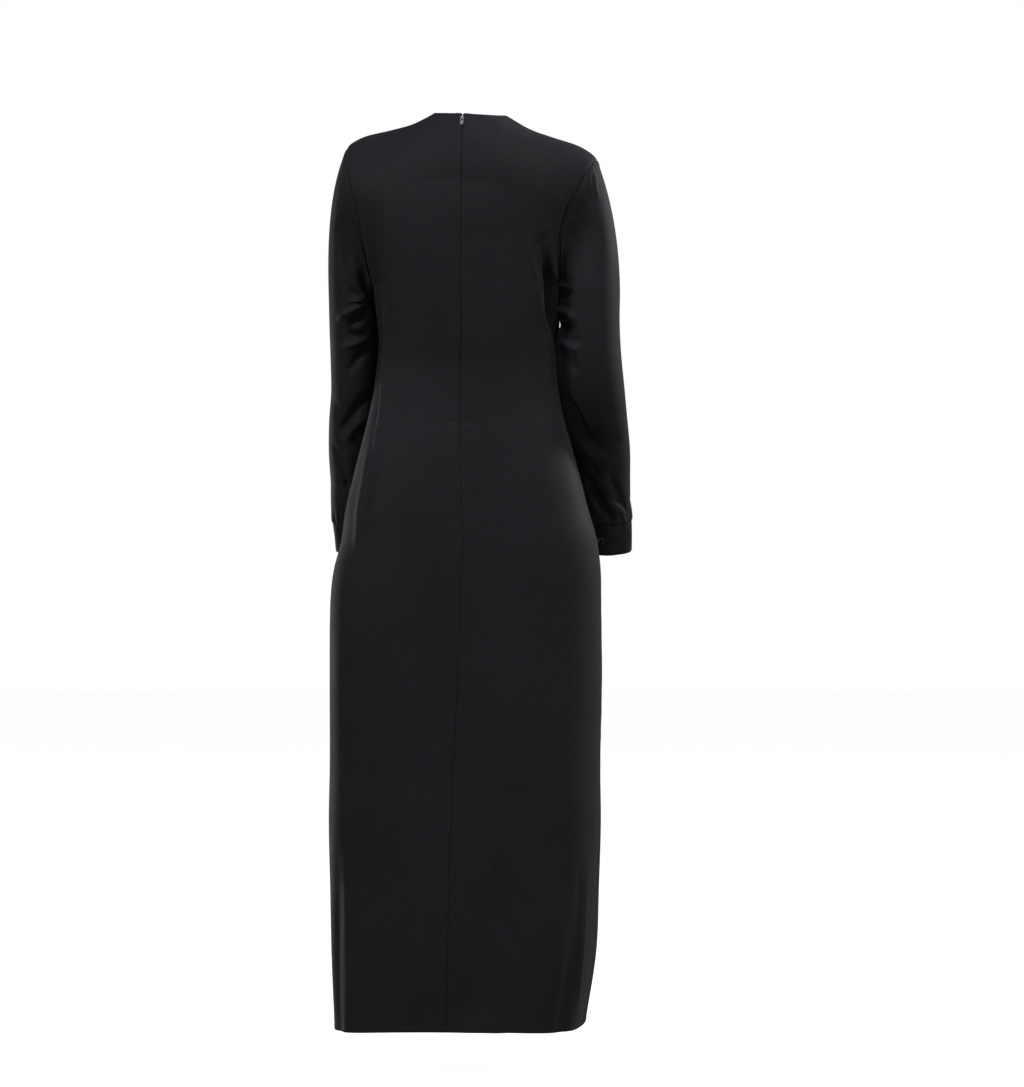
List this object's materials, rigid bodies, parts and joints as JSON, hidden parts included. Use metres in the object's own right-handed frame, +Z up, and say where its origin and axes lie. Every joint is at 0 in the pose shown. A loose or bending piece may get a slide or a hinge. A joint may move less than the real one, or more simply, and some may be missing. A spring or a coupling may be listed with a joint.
{
  "type": "abaya",
  "caption": "Long black abaya in its worn form: round neck, straight skirt, set-in sleeves with buttoned cuffs, concealed back zip whose pull swings.",
  "frame": {"origin": "between the middles of the two shoulder seams, where the wearer's shoulders hold it", "axes": "+Z up the body, -Y out of the back, +X to the wearer's right"},
  "size_m": [0.492, 0.3098, 1.4483],
  "materials": {
    "crepe": "plain matte crepe with a faint sheen where it turns away",
    "button_gloss": "polished black",
    "zip_tape": "close woven tape",
    "zip_coil": "dull moulded coil",
    "zip_enamel": "black enamel on metal"
  },
  "bodies": {
    "garment": {"back_left": "crepe", "back_right": "crepe", "front": "crepe", "sleeve_left": "crepe", "sleeve_right": "crepe", "cuff_left": "crepe", "cuff_right": "crepe", "button_left": "button_gloss", "button_right": "button_gloss", "zip_tape_left": "zip_tape", "zip_tape_right": "zip_tape", "zip_chain": "zip_coil", "zip_stop": "zip_enamel", "zip_slider": "zip_enamel"},
    "zip_pull": {"zip_pull": "zip_enamel"}
  },
  "joints": [
    {"name": "zip_pull_swing", "type": "hinge", "parent": "garment", "child": "zip_pull", "pos_m": [-0.01622, -0.07687, 0.01562], "axis": [-0.9899, 0.1377, -0.0323], "range_deg": [0, 160]}
  ]
}
